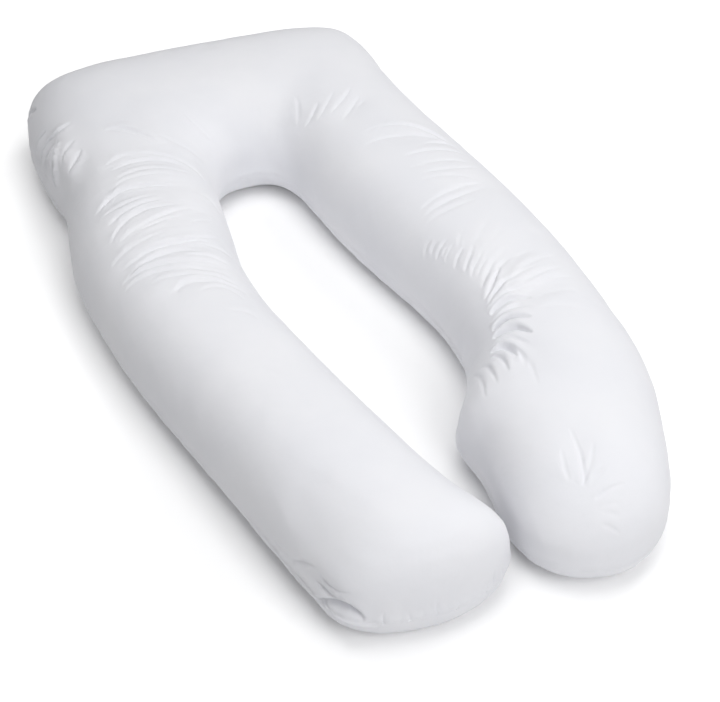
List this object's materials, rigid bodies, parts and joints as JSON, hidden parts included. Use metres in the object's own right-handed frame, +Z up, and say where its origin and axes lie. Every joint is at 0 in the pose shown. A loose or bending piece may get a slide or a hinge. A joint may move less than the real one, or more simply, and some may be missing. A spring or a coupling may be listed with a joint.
{
  "type": "pregnancy pillow",
  "caption": "Filled U-shaped full-body pillow of smooth cloth, sewn round its edge, with a broad head end and long arms that bend in towards each other.",
  "frame": {"origin": "on the surface it lies on, under the middle of its outline", "axes": "+Z up from the surface, +Y along the pillow's length to the head end, +X across it to the right arm as seen from above with the head end away"},
  "size_m": [0.818, 1.489, 0.2001],
  "materials": {
    "cover_cloth": "matte, finely woven cotton"
  },
  "bodies": {
    "root": {"pillow": "cover_cloth"}
  },
  "joints": []
}
